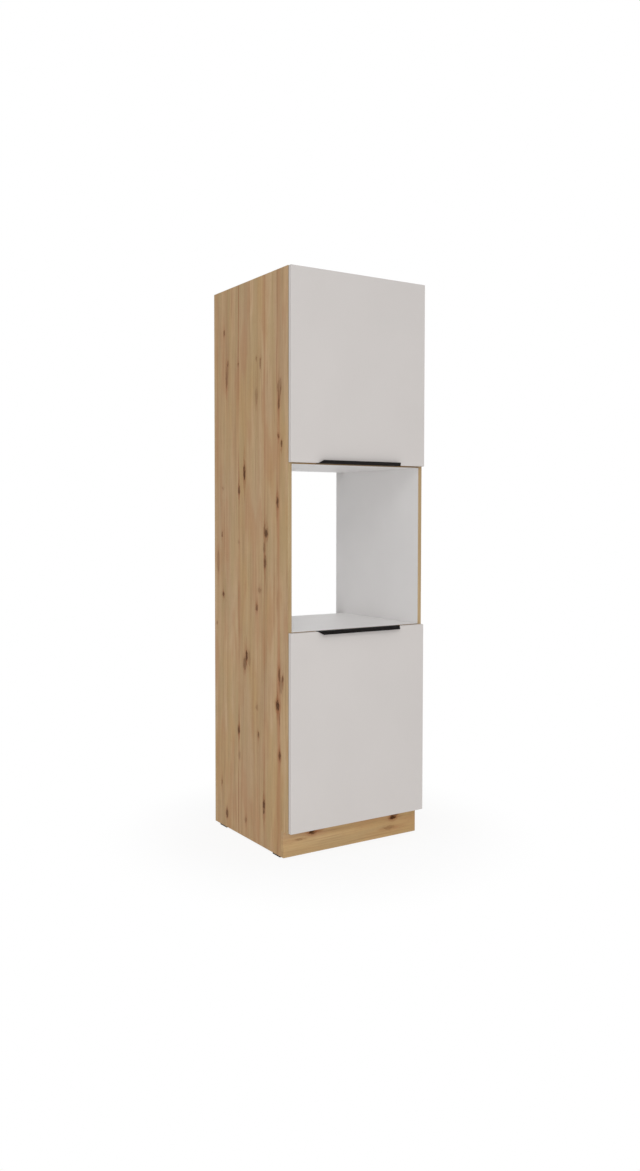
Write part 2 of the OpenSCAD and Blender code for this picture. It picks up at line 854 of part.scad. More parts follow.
module handle_screws(d) {
    translate([0, 0, d[2] > 0 ? d[0] : d[1]]) mirror([0, 0, d[2] > 0 ? 0 : 1])
        for (x = handle_screws_x) {
            translate([x, handle_screw_y, -handle_t])
                cylinder(r1 = handle_screw_head_r, r2 = handle_screw_r,
                         h = handle_screw_head_h, $fn = fine);
            rod_z([x, handle_screw_y, -handle_t], handle_screw_r, handle_screw_l + handle_t);
        }
}

module handle_screws_upper() {
    color(black) handle_screws(DOOR_UPPER);
}

module handle_screws_lower() {
    color(black) handle_screws(DOOR_LOWER);
}

module bumpers(d) {
    for (z = [d[0] + bumper_inset, d[1] - bumper_inset])
        rod_y([-x_in - board_t / 2, y_door_back, z], bumper_r, bumper_h);
}

module bumpers_upper() {
    color(clear_white) bumpers(DOOR_UPPER);
}

module bumpers_lower() {
    color(clear_white) bumpers(DOOR_LOWER);
}

side_panel_left();
side_panel_right();
top_panel();
bottom_panel();
niche_floor_board();
niche_ceiling_board();
upper_shelf();
lower_shelf();
back_panel_upper();
back_panel_lower();
plinth_board();
side_edge_bands();
board_edge_bands();
shelf_edge_bands();
foot_glides();
glide_nails();
shelf_pins();
cam_housings();
cam_bolts();
dowels();
back_nails();
wall_brackets();
bracket_screws();
hinge_plates();
plate_screws();
hinge_arms();
arm_screws();
hinge_pins();
hinge_links_upper();
hinge_links_lower();
door_upper();
handle_upper();
handle_screws_upper();
hinge_cups_upper();
cup_screws_upper();
bumpers_upper();
door_lower();
handle_lower();
handle_screws_lower();
hinge_cups_lower();
cup_screws_lower();
bumpers_lower();
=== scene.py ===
"""Looks of the tall oven housing unit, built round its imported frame.

Metres, +Z up, doors facing -Y. Boards, edge bands, doors, handles and glides are copies of
their CAD nodes with rounded edges and a finish for each face. Small fittings keep their CAD
mesh. Every finish is procedural and follows the object's own coordinates.
"""
import json
import math
from collections import namedtuple

import bmesh
import bpy
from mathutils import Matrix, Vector


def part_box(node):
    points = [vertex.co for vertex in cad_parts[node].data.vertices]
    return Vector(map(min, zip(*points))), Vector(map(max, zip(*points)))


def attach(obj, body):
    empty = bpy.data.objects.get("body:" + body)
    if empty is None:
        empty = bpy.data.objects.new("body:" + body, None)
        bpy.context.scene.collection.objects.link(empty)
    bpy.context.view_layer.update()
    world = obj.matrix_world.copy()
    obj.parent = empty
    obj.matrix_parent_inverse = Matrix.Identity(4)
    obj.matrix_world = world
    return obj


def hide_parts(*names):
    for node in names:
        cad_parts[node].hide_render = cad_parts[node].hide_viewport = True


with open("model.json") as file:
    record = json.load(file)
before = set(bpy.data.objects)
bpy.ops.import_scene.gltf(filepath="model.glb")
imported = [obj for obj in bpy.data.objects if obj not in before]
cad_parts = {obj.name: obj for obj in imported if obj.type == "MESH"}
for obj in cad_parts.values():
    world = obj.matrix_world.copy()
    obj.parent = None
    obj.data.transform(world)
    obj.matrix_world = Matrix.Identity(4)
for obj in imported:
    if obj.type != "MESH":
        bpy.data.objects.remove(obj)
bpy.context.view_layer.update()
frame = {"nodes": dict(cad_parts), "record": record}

MM = 0.001
X, Y, Z = 0, 1, 2
LOW, HIGH = 0, 1
WHITE = (1.0, 1.0, 1.0, 1.0)
NODES = frame["nodes"]
BODY_OF = {
    node: body
    for body, members in frame["record"]["behaviour"]["bodies"].items()
    for node in members
}
CARCASS_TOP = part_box("side_panel_left")[HIGH].z

# The photograph's frame and lens, in its own pixels, and where it was taken from
PHOTO_W = 640
PHOTO_H = 1171
FOCAL_LENGTH = 993.486
LENS_AXIS = (287.494, 554.536)
SENSOR_MM = 36.0
CAMERA_AT = Vector((-2.13275, -3.22103, 1.22685))
CAMERA_YAW = 0.5536
CAMERA_PITCH = -0.0382

# Light: even light from all round with more of it from ahead, a soft lamp at half the cabinet's
# height, and wide soft light from higher up on the same side
AMBIENT = 0.52
AMBIENT_AHEAD = (0.0, -0.22, 0.0)
LAMP_TARGET = Vector((0.0, 0.0, 1.0))
KEY_AT = Vector((-3.0, -4.5, 0.9))
KEY_WIDTH = 1.7
KEY_POWER = 64.0
HIGH_LAMP_FROM = Vector((-0.484, -0.718, 0.5))
HIGH_LAMP_STRENGTH = 0.51
HIGH_LAMP_SPREAD = math.radians(25.0)

# Floor: its own colour, the share of its shading that the eye sees near the cabinet, and the
# distances between which that share fades to none
FLOOR_RADIUS = 12.0
FLOOR_SIDES = 96
FLOOR_DROP = 0.3 * MM
FLOOR_COLOUR = (0.97, 0.97, 0.97, 1.0)
SHADOW_SHARE = 0.11
SHADOW_FADE = (0.4, 0.9)

# Copies of the CAD nodes: what counts as one point, a flat face and a sharp edge, and which
# faces lie on the box of their node
WELD = 0.001 * MM
FLAT = math.radians(1.0)
SHARP = math.radians(50.0)
FACING = 0.3
SKIN = 1.5 * MM

# Rounding of their edges: steps, profile, radii, and the shortest edges that are rounded
EASE_STEPS = 2
ROUND_PROFILE = 0.5
BOARD_EASE = 0.6 * MM
DOOR_EASE = 1.0 * MM
BACK_EASE = 0.2 * MM
BAND_EASE = 0.35 * MM
GLIDE_EASE = 0.4 * MM
SHORTEST = 10 * MM
GLIDE_SHORTEST = 4 * MM


# ---- Node trees ----

# Noise goes from 0 to 1: its middle, and the range that holds most of it
MIDDLE_NOISE = 0.5
MOST_NOISE = (0.3, 0.7)


def rgb(red, green, blue):
    """A shader colour from sRGB values of 0 to 255."""
    def linear(value):
        share = value / 255
        return share / 12.92 if share <= 0.04045 else ((share + 0.055) / 1.055) ** 2.4
    return (linear(red), linear(green), linear(blue), 1.0)


class Tree:
    """Short calls that add nodes to a node tree."""

    def __init__(self, tree):
        self.nodes = tree.nodes
        self.links = tree.links
        self.nodes.clear()

    def add(self, kind, inputs=None, **settings):
        """A node of one kind. Its inputs are linked to sockets or set to values."""
        node = self.nodes.new("ShaderNode" + kind)
        for key, value in settings.items():
            setattr(node, key, value)
        for key, value in (inputs or {}).items():
            if isinstance(value, bpy.types.NodeSocket):
                self.links.new(value, node.inputs[key])
            else:
                node.inputs[key].default_value = value
        return node

    def math(self, operation, *values):
        return self.add("Math", dict(enumerate(values)), operation=operation).outputs[0]

    def vector(self, operation, *values):
        node = self.add("VectorMath", dict(enumerate(values)), operation=operation)
        return node.outputs["Value" if operation in ("LENGTH", "DOT_PRODUCT") else "Vector"]

    def span(self, value, start, end, low=0.0, high=1.0):
        """value carried smoothly from start..end to low..high, and held outside."""
        ends = {"From Min": start, "From Max": end, "To Min": low, "To Max": high}
        node = self.add("MapRange", {"Value": value, **ends}, interpolation_type="SMOOTHSTEP")
        return node.outputs[0]

    def spread(self, noise, low=0.0, high=1.0):
        """Most of a noise carried to low..high."""
        return self.span(noise, *MOST_NOISE, low, high)

    def noise(self, vector, detail=2.0, roughness=0.5, output="Fac"):
        sizes = {"Scale": 1.0, "Detail": detail, "Roughness": roughness}
        return self.add("TexNoise", {"Vector": vector, **sizes}).outputs[output]

    def mix(self, share, first, second):
        node = self.add("Mix", {0: share, 6: first, 7: second}, data_type="RGBA")
        return node.outputs[2]

    def ramp(self, value, stops):
        """Colours from a list of (place, colour)."""
        node = self.add("ValToRGB", {0: value})
        elements = node.color_ramp.elements
        while len(elements) < len(stops):
            elements.new(1.0)
        for element, (place, colour) in zip(elements, stops):
            element.position = place
            element.color = colour
        return node.outputs[0]


class Finish(Tree):
    """A material whose textures follow the object's own coordinates, in metres."""

    def __init__(self, name):
        self.material = bpy.data.materials.new(name)
        self.material.use_nodes = True
        super().__init__(self.material.node_tree)
        self.place = self.add("TexCoord").outputs["Object"]
        self.axes = self.add("SeparateXYZ", {0: self.place}).outputs

    def scaled(self, scale):
        """The place, counted in features: so many per metre, for all axes or for each."""
        scales = scale if isinstance(scale, tuple) else (scale,) * 3
        return self.vector("MULTIPLY", self.place, scales)

    def grain(self, scale, detail=2.0, roughness=0.5):
        """Noise with so many features per metre."""
        return self.noise(self.scaled(scale), detail, roughness)

    def surface(self, colour, roughness, relief, depth, specular=0.5, **sockets):
        """The material itself: relief, from 0 to 1, stands depth metres proud."""
        bump = self.add("Bump", {"Height": relief, "Strength": 1.0, "Distance": depth})
        shader = self.add("BsdfPrincipled", {
            "Base Color": colour, "Roughness": roughness, "Specular IOR Level": specular,
            "Normal": bump.outputs[0], **sockets})
        self.add("OutputMaterial", {"Surface": shader.outputs[0]})
        return self.material


# ---- Oak decor ----

OAK_DARK = rgb(170, 139, 103)
OAK_MID = rgb(186, 155, 117)
OAK_LIGHT = rgb(196, 167, 131)
OAK_RED = rgb(176, 130, 94)
OAK_OLIVE = rgb(177, 152, 112)
OAK_YELLOW = rgb(184, 151, 104)
OAK_PALE = rgb(184, 155, 123)
OAK_LINE = rgb(146, 110, 74)
OAK_HALO = rgb(142, 88, 53)
OAK_KNOT = rgb(74, 41, 7)

# Dark, middle and light tones of the decor on each kind of piece, and their places in the noise
BOARD_TONES = (OAK_DARK, OAK_MID, OAK_LIGHT)
PLINTH_TONES = (rgb(168, 136, 96), rgb(184, 152, 108), rgb(195, 165, 122))
BAND_TONES = (rgb(154, 131, 98), rgb(171, 147, 111), rgb(184, 161, 125))
# The level bands' tones are the band oak darkened by painted shade, the shadow under the doors'
# bottom edges, on every level band
LEVEL_BAND_SHADED_TONES = (rgb(124, 99, 66), rgb(138, 112, 76), rgb(151, 126, 88))
TONE_PLACES = (0.36, 0.5, 0.64)

# Streaks: width and length in millimetres, a layer of noise of their own, its detail and roughness
Streak = namedtuple("Streak", "width length layer detail roughness", defaults=(2.0, 0.55))
BOARDS = Streak(42, 1200, 3, 4.0, 0.66)
TONES = Streak(130, 500, 53)
HUES = Streak(65, 330, 11)
HEART_BREAKS = Streak(120, 420, 43)
VEIN_BREAKS = Streak(90, 240, 61)
LINES = Streak(4.5, 380, 19, 2.0, 0.6)
LINE_FADING = Streak(60, 300, 23)
FIBRES = Streak(0.9, 55, 29)
PORES = Streak(1.1, 26, 37, 1.0)
TAIL_VEINS = Streak(8, 60, 47, 3.0)
CORE_CRACKS = Streak(4, 26, 59)

# Slow drifts of colour over the boards: streaks, where in their noise the drift is full (it starts
# in the middle), its strength and its colour
DRIFTS = [
    (TONES, 0.66, 0.6, OAK_YELLOW), (TONES, 0.34, 0.55, OAK_PALE),
    (HUES, 0.66, 0.42, OAK_RED), (HUES, 0.34, 0.55, OAK_OLIVE),
]

# The grain's gentle sway: its size, and its waves per metre across and along
SWAY = 36 * MM
SWAY_WAVES = (2.5, 1.3, 0.0)

# Strips along a side: place across the grain and half width in millimetres, and strength.
# Hearts are broad and reddish, veins are thin and dark.
Strip = namedtuple("Strip", "place half_w strength")
HEARTS = [
    Strip(-196, 17, 0.9), Strip(-98, 12, 0.3), Strip(-50, 12, 0.2), Strip(46, 10, 0.2),
    Strip(98, 8, 0.45), Strip(188, 12, 0.2), Strip(266, 16, 0.4),
]
VEINS = [Strip(98, 5, 0.75), Strip(-97, 4, 0.45), Strip(212, 4, 0.4), Strip(-186, 5, 0.45)]

# Knots: place across and along the grain, half width and half length in millimetres, darkness.
# Those of the left side are counted back from the middle of the footprint, and up.
Knot = namedtuple("Knot", "across along half_w half_l dark")
SIDE_KNOTS = [Knot(*values) for values in (
    (211, 1937, 6, 9, 0.55), (183, 1812, 7, 9, 0.5), (192, 1757, 8, 36, 0.45),
    (100, 1805, 6, 8, 0.45), (-67, 1800, 6, 6, 0.6), (-66, 1782, 4, 16, 0.6),
    (-38, 1808, 5, 5, 0.45), (-38, 1670, 10, 30, 0.25), (-190, 1684, 4, 16, 0.45),
    (-204, 1692, 13, 24, 0.3), (-199, 1655, 9, 28, 0.3), (189, 1788, 10, 24, 0.25),
    (-209, 1676, 4, 15, 0.45), (-197, 1625, 6, 22, 0.6), (-195, 1513, 6, 8, 0.65),
    (-216, 1482, 6, 11, 0.7), (53, 1391, 8, 28, 0.9), (94, 1327, 6, 18, 0.85),
    (225, 1336, 6, 5, 0.3), (-188, 1279, 7, 19, 0.85), (-109, 1166, 11, 17, 0.85),
    (-97, 1178, 5, 22, 0.5), (-94, 1112, 6, 20, 0.4), (-100, 1060, 8, 22, 0.65),
    (232, 1157, 6, 9, 0.5), (264, 1050, 10, 46, 0.3), (97, 1130, 7, 6, 0.25),
    (-61, 957, 12, 8, 0.3), (-39, 890, 8, 10, 0.7), (221, 922, 9, 9, 0.75),
    (276, 806, 5, 6, 0.4), (38, 702, 8, 20, 0.9), (52, 672, 13, 24, 0.5),
    (18, 694, 9, 30, 0.25), (-199, 660, 6, 26, 0.75), (-224, 648, 6, 14, 0.7),
    (-212, 628, 12, 32, 0.3), (-189, 548, 12, 17, 1.0), (-201, 500, 4, 26, 0.4),
    (-202, 368, 8, 15, 0.75), (99, 408, 7, 17, 0.8), (95, 313, 7, 15, 0.3),
    (-50, 418, 7, 10, 0.6), (-39, 518, 10, 7, 0.25), (238, 176, 5, 13, 0.5),
    (-90, 158, 7, 28, 0.85), (197, 61, 10, 15, 0.7), (46, 73, 9, 13, 0.35),
)]
# Those of the plinth are counted up, and from its middle to the right.
PLINTH_KNOTS = [Knot(*values) for values in (
    (80, -177, 8, 15, 0.95), (75, 191, 8, 12, 1.0), (84, 206, 5, 10, 0.6),
    (38, 172, 7, 26, 0.3), (62, -228, 4, 22, 0.3),
)]

# Where each part of a knot starts to show and is full, in the knot's own half sizes, and how the
# tails are drawn out
CORE_EDGE = (1.15, 0.8)
HALO_EDGE = (2.4, 0.9)
HALO_SHARE = 0.45
TAIL_EDGE = (1.0, 0.1)
TAIL_SHAPE = (0.75, 0.2, 0.0)

# The ragged outline of the knots: features per metre, and size
RAG_SCALE = (150.0, 60.0, 1.0)
RAG_SIZE = Vector((14 * MM, 42 * MM, 0.0))

# The grain runs round knots at least as dark as BIG_KNOT: how far out, in their half sizes, and
# how far it is pushed, as a share of that
BIG_KNOT = 0.6
FLOW_W = 3.0
FLOW_L = 2.6
FLOW_PUSH = 0.8


class Oak(Finish):
    """Matt oak decor with its grain along one axis: 0, 1 or 2 for X, Y or Z."""

    def __init__(self, name, across, along, knots, seed):
        super().__init__(name)
        self.across = self.axes[across]
        self.knots = knots
        self.flat = self.add("CombineXYZ", {0: self.across, 1: self.axes[along]}).outputs[0]
        self.bent = self.bend(seed)
        lie = self.add("CombineXYZ", {0: self.bent, 1: self.axes[along], 2: seed})
        self.lie = lie.outputs[0]
        self.made = {}

    def bend(self, seed):
        """The place across the grain, with its sway and its flow round the big knots."""
        waves = self.vector("MULTIPLY_ADD", self.flat, SWAY_WAVES, (0.0, 0.0, seed))
        bent = self.math("MULTIPLY_ADD", self.noise(waves), SWAY, self.across)
        bent = self.math("SUBTRACT", bent, SWAY / 2)
        for knot in self.knots:
            if knot.dark >= BIG_KNOT:
                reach = self.reach(self.flat, knot, FLOW_W, FLOW_L)
                push = -FLOW_PUSH * FLOW_W * knot.half_w * MM
                near = self.span(self.vector("LENGTH", reach), 1.0, 0.0, high=push)
                side = self.add("SeparateXYZ", {0: reach}).outputs["X"]
                bent = self.math("MULTIPLY_ADD", side, near, bent)
        return bent

    def reach(self, place, knot, grow_w=1.0, grow_l=1.0):
        """Each point's place in a knot's own half widths and half lengths."""
        width, length = knot.half_w * grow_w * MM, knot.half_l * grow_l * MM
        scale = (1 / width, 1 / length, 0.0)
        shift = (-knot.across * MM / width, -knot.along * MM / length, 0.0)
        return self.vector("MULTIPLY_ADD", place, scale, shift)

    def streaks(self, kind):
        """Noise drawn out along the grain, made once for each kind."""
        if kind not in self.made:
            scale = (1 / (kind.width * MM), 1 / (kind.length * MM), 1.0)
            place = self.vector("MULTIPLY_ADD", self.lie, scale, (0.0, 0.0, kind.layer))
            self.made[kind] = self.noise(place, kind.detail, kind.roughness)
        return self.made[kind]

    def strips(self, strips, breaks):
        """The strength of the strips at each point, where the breaks leave them."""
        total = 0.0
        for strip in strips:
            away = self.math("ABSOLUTE", self.math("SUBTRACT", self.bent, strip.place * MM))
            near = self.span(away, strip.half_w * MM, 0.0, high=strip.strength)
            total = self.math("ADD", total, near)
        return self.math("MULTIPLY", total, breaks)

    def drift(self, colour):
        """The colour with its slow drifts to yellow, pale, red and olive."""
        for kind, full, strength, tint in DRIFTS:
            share = self.span(self.streaks(kind), MIDDLE_NOISE, full, high=strength)
            colour = self.mix(share, colour, tint)
        return colour

    def heartwood(self, colour):
        """The colour with the reddish hearts and the dark veins."""
        kept = self.span(self.streaks(HEART_BREAKS), 0.3, 0.6, low=0.4)
        colour = self.mix(self.strips(HEARTS, kept), colour, OAK_RED)
        kept = self.span(self.streaks(VEIN_BREAKS), 0.34, 0.6)
        return self.mix(self.strips(VEINS, kept), colour, OAK_HALO)

    def fine_grain(self, colour):
        """The colour with dark lines that fade in and out, fibres and pores."""
        lines = self.span(self.streaks(LINES), 0.52, 0.22, high=0.55)
        faded = self.span(self.streaks(LINE_FADING), 0.3, 0.65, low=0.35)
        colour = self.mix(self.math("MULTIPLY", lines, faded), colour, OAK_LINE)
        fibres = self.span(self.streaks(FIBRES), 0.5, 0.25, high=0.3)
        colour = self.mix(fibres, colour, OAK_LINE)
        pores = self.span(self.streaks(PORES), 0.34, 0.2, high=0.65)
        return self.mix(pores, colour, OAK_HALO)

    def knot_marks(self):
        """How strongly the cores, halos and tails of the knots show at each point."""
        rag_place = self.vector("MULTIPLY", self.flat, RAG_SCALE)
        rags = self.noise(rag_place, detail=4.0, roughness=0.75, output="Color")
        ragged = self.vector("MULTIPLY_ADD", rags, RAG_SIZE, -RAG_SIZE / 2)
        loose = self.vector("ADD", self.flat, ragged)
        core, halo, tail = 0.0, 0.0, 0.0
        for knot in self.knots:
            reach = self.reach(loose, knot)
            away = self.vector("LENGTH", reach)
            drawn = self.vector("LENGTH", self.vector("MULTIPLY", reach, TAIL_SHAPE))
            core = self.math("MAXIMUM", core, self.span(away, *CORE_EDGE, high=knot.dark))
            halo = self.math("MAXIMUM", halo, self.span(away, *HALO_EDGE, high=knot.dark))
            tail = self.math("MAXIMUM", tail, self.span(drawn, *TAIL_EDGE, high=knot.dark))
        return core, halo, tail

    def knotted(self, colour):
        """The colour with the knots in it, and their cracked cores."""
        core, halo, tail = self.knot_marks()
        veined = self.span(self.streaks(TAIL_VEINS), 0.38, 0.58, low=0.1, high=0.85)
        cracked = self.span(self.streaks(CORE_CRACKS), 0.3, 0.5, low=0.45)
        core = self.math("MULTIPLY", core, cracked)
        colour = self.mix(self.math("MULTIPLY", tail, veined), colour, OAK_HALO)
        colour = self.mix(self.math("MULTIPLY", halo, HALO_SHARE), colour, OAK_HALO)
        return self.mix(core, colour, OAK_KNOT), core


def oak_decor(name, across, along, tones, knots=(), hearts=False, seed=0.0):
    """The decor of one kind of piece. Only boards with knots drift in colour."""
    tree = Oak(name, across, along, knots, seed)
    colour = tree.ramp(tree.streaks(BOARDS), list(zip(TONE_PLACES, tones)))
    if knots:
        colour = tree.drift(colour)
    if hearts:
        colour = tree.heartwood(colour)
    colour = tree.fine_grain(colour)
    relief = tree.span(tree.streaks(FIBRES), 0.3, 0.6)
    if knots:
        colour, core = tree.knotted(colour)
        relief = tree.math("SUBTRACT", relief, core)
    roughness = tree.spread(tree.streaks(LINES), 0.66, 0.56)
    return tree.surface(colour, roughness, relief, depth=0.04 * MM, specular=0.15)


def turned(knots):
    """The same decor sheet turned upside down, for the right side."""
    top = CARCASS_TOP / MM
    return [knot._replace(across=-knot.across, along=top - knot.along) for knot in knots]


# ---- Other finishes ----

def melamine(name, level):
    """White melamine of the given level, with a fine pearl and a faint cloudiness."""
    tree = Finish(name)
    clouds = tree.grain(5.0, detail=3.0)
    pale = rgb(level, level - 2, level - 3)
    dull = rgb(level - 3, level - 5, level - 6)
    pearl = tree.grain(850.0, detail=1.0)
    shade = tree.mix(tree.spread(clouds), pale, dull)
    return tree.surface(shade, tree.spread(pearl, 0.42, 0.54), pearl, depth=0.02 * MM)


def door_foil():
    """Supermatt cashmere grey foil: a fine even grit that breaks up any gloss."""
    tree = Finish("door_foil")
    grit = tree.grain(1900.0, roughness=0.6)
    clouds = tree.grain((4.0, 4.0, 3.0), detail=3.0)
    shade = tree.mix(tree.spread(clouds), rgb(203, 198, 195), rgb(205, 200, 197))
    shade = tree.mix(tree.span(grit, 0.6, 0.35, high=0.08), shade, rgb(188, 182, 178))
    roughness = tree.spread(clouds, 0.62, 0.66)
    return tree.surface(shade, roughness, grit, depth=0.015 * MM, specular=0.3)


def chipboard():
    """The bare core of a melamine board: pressed chips, open and rough."""
    tree = Finish("chipboard")
    cells = tree.add("TexVoronoi", {"Vector": tree.scaled(420.0), "Scale": 1.0})
    chips = cells.outputs["Color"]
    tone = tree.add("SeparateColor", {0: chips}).outputs[0]
    colour = tree.ramp(tone, [(0.0, rgb(139, 106, 72)), (0.5, rgb(186, 152, 110)),
                              (1.0, rgb(211, 182, 140))])
    pits = tree.grain(700.0, detail=3.0, roughness=0.7)
    colour = tree.mix(tree.span(pits, 0.42, 0.25, high=0.7), colour, rgb(96, 68, 44))
    return tree.surface(colour, roughness=0.85, relief=pits, depth=0.2 * MM)


def hardboard():
    """The brown rear of the thin back panels, pressed from fibres."""
    tree = Finish("hardboard")
    fibres = tree.grain(260.0, detail=4.0, roughness=0.7)
    colour = tree.mix(tree.spread(fibres), rgb(118, 82, 54), rgb(147, 108, 74))
    blotches = tree.grain((9.0, 9.0, 6.0), detail=3.0)
    colour = tree.mix(tree.span(blotches, 0.4, 0.7, high=0.4), colour, rgb(106, 74, 49))
    return tree.surface(colour, roughness=0.78, relief=fibres, depth=0.08 * MM)


def fibreboard():
    """The core of a door, seen only inside its bores."""
    tree = Finish("fibreboard")
    fibres = tree.grain(600.0, detail=3.0, roughness=0.7)
    colour = tree.mix(tree.spread(fibres), rgb(158, 124, 86), rgb(186, 152, 112))
    return tree.surface(colour, roughness=0.88, relief=fibres, depth=0.06 * MM)


def powder_coat():
    """Black powder coat with a fine orange peel."""
    tree = Finish("powder_coat")
    peel = tree.grain(1400.0)
    wear = tree.grain(70.0, detail=3.0)
    colour = tree.mix(tree.span(wear, 0.35, 0.7), rgb(15, 12, 11), rgb(20, 17, 15))
    roughness = tree.spread(wear, 0.46, 0.54)
    return tree.surface(colour, roughness, peel, depth=0.02 * MM, specular=0.07)


def moulded_plastic():
    """Black moulded plastic with a sparked texture and faint scuffs."""
    tree = Finish("moulded_plastic")
    spark = tree.grain(1100.0)
    scuffs = tree.grain((60.0, 60.0, 160.0), detail=3.0)
    colour = tree.mix(tree.span(scuffs, 0.4, 0.75), rgb(13, 12, 12), rgb(22, 21, 20))
    roughness = tree.spread(spark, 0.45, 0.6)
    return tree.surface(colour, roughness, spark, depth=0.03 * MM, specular=0.25)


def metal(name, colour, dull, brushed, smoothest, roughest):
    """Plated metal: brushed gives the marks per metre, in all or along each of the axes."""
    tree = Finish(name)
    marks = tree.grain(brushed, detail=3.0, roughness=0.6)
    stains = tree.grain(45.0, detail=3.0)
    shade = tree.mix(tree.span(stains, 0.4, 0.75, high=0.5), colour, dull)
    roughness = tree.spread(marks, smoothest, roughest)
    return tree.surface(shade, roughness, marks, depth=0.0006 * MM, Metallic=1.0)


def beech():
    """Raw beech with short dark flecks along the dowels."""
    tree = Finish("beech")
    flecks = tree.grain((130.0, 1500.0, 1500.0), roughness=0.6)
    colour = tree.mix(tree.span(flecks, 0.35, 0.65), rgb(181, 140, 98), rgb(207, 170, 127))
    return tree.surface(colour, roughness=0.7, relief=flecks, depth=0.03 * MM)


def clear_silicone():
    """The soft clear bumpers, slightly cloudy inside."""
    tree = Finish("clear_silicone")
    haze = tree.grain(300.0)
    colour = tree.mix(tree.spread(haze), rgb(236, 238, 238), rgb(246, 247, 247))
    clear = {"Transmission Weight": 0.75, "IOR": 1.41}
    return tree.surface(colour, tree.spread(haze, 0.15, 0.3), haze, depth=0.01 * MM, **clear)


OAK_LEFT = oak_decor("oak_left", Y, Z, BOARD_TONES, SIDE_KNOTS, hearts=True)
OAK_RIGHT = oak_decor("oak_right", Y, Z, BOARD_TONES, turned(SIDE_KNOTS), hearts=True)
OAK_PLINTH = oak_decor("oak_plinth", Z, X, PLINTH_TONES, PLINTH_KNOTS, seed=2.0)
OAK_EDGE_UPRIGHT = oak_decor("oak_edge_upright", X, Z, BAND_TONES)
# The level edge bands carry painted shade in their darker oak tones
OAK_EDGE_LEVEL_SHADED = oak_decor("oak_edge_level_shaded", Z, X, LEVEL_BAND_SHADED_TONES)
OAK_EDGE_TOP = oak_decor("oak_edge_top", X, Y, BAND_TONES, seed=7.0)
# One white melamine in two copies: darker on the sides and backs as painted shade, lighter on the
# level boards as painted light from above
WHITE_SIDE_SHADED = melamine("white_side_shaded", 225)
WHITE_BOARD_LIT = melamine("white_board", 240)
WHITE_EDGE = melamine("white_edge", 236)
FOIL = door_foil()
CHIPBOARD = chipboard()
HARDBOARD = hardboard()
FIBREBOARD = fibreboard()
POWDER_COAT = powder_coat()
PLASTIC = moulded_plastic()
NICKEL = metal("nickel", rgb(199, 197, 193), rgb(172, 170, 166), brushed=(90.0, 900.0, 900.0),
               smoothest=0.26, roughest=0.38)
ZINC = metal("zinc", rgb(178, 180, 184), rgb(146, 149, 154), brushed=500.0,
             smoothest=0.34, roughest=0.5)
BEECH = beech()
SILICONE = clear_silicone()


# ---- Pieces made from the CAD nodes ----

def eased_mesh(node, radius, shortest):
    """The node's mesh with clean flat faces and its long outer edges rounded."""
    mesh = bmesh.new()
    mesh.from_mesh(NODES[node].data)
    bmesh.ops.remove_doubles(mesh, verts=mesh.verts, dist=WELD)
    bmesh.ops.dissolve_limit(mesh, angle_limit=FLAT, verts=mesh.verts, edges=mesh.edges)
    outer = [
        edge for edge in mesh.edges
        if edge.is_manifold and edge.is_convex
        and edge.calc_length() > shortest and edge.calc_face_angle() > SHARP
    ]
    bmesh.ops.bevel(mesh, geom=outer, offset=radius, offset_type="OFFSET", affect="EDGES",
                    segments=EASE_STEPS, profile=ROUND_PROFILE, clamp_overlap=True)
    for edge in mesh.edges:
        edge.smooth = edge.is_manifold and edge.calc_face_angle() < SHARP
    for face in mesh.faces:
        face.smooth = True
    return mesh


def on_faces(node, *faces):
    """A test for mesh faces on the given faces of a node's box, each (axis, LOW or HIGH)."""
    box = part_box(node)

    def test(face):
        centre = face.calc_center_median()
        return any(
            face.normal[axis] * (1 if end == HIGH else -1) > FACING
            and abs(centre[axis] - box[end][axis]) < SKIN
            for axis, end in faces)
    return test


def dress(node, rest, *coats, radius=BOARD_EASE, shortest=SHORTEST):
    """A copy of a CAD node with rounded edges. Each of its faces gets the finish of the first
    of the coats, (finish, test), whose test it passes, or the finish of the rest."""
    mesh = eased_mesh(node, radius, shortest)
    for face in mesh.faces:
        passed = [number for number, (_, test) in enumerate(coats) if test(face)]
        face.material_index = passed[0] if passed else len(coats)
    data = bpy.data.meshes.new(node + "_finished")
    mesh.to_mesh(data)
    mesh.free()
    for finish, _ in coats:
        data.materials.append(finish)
    data.materials.append(rest)
    piece = bpy.data.objects.new(node + "_finished", data)
    bpy.context.scene.collection.objects.link(piece)
    piece.modifiers.new("even_shading", "WEIGHTED_NORMAL").keep_sharp = True
    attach(piece, BODY_OF[node])
    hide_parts(node)


def dress_side(node, oak, outer):
    """Oak outside, white inside, an oak band on top, bare core at the rear and below."""
    inner = LOW if outer == HIGH else HIGH
    dress(node, CHIPBOARD,
          (oak, on_faces(node, (X, outer))),
          (WHITE_SIDE_SHADED, on_faces(node, (X, inner))),
          (OAK_EDGE_TOP, on_faces(node, (Z, HIGH))))


def dress_level_board(node):
    """White above and below, bare core at the ends and the rear."""
    dress(node, CHIPBOARD, (WHITE_BOARD_LIT, on_faces(node, (Z, LOW), (Z, HIGH))))


def dress_plinth(node):
    """Oak on both faces and ends, bare core above and below."""
    upright = on_faces(node, (X, LOW), (X, HIGH), (Y, LOW), (Y, HIGH))
    dress(node, CHIPBOARD, (OAK_PLINTH, upright))


def dress_back(node):
    """White towards the cupboard, brown at the rear and on the edges."""
    dress(node, HARDBOARD, (WHITE_SIDE_SHADED, on_faces(node, (Y, LOW))), radius=BACK_EASE)


def dress_door(node):
    """Foil all round, fibreboard in the bores."""
    outside = on_faces(node, *((axis, end) for axis in (X, Y, Z) for end in (LOW, HIGH)))
    dress(node, FIBREBOARD, (FOIL, outside), radius=DOOR_EASE)


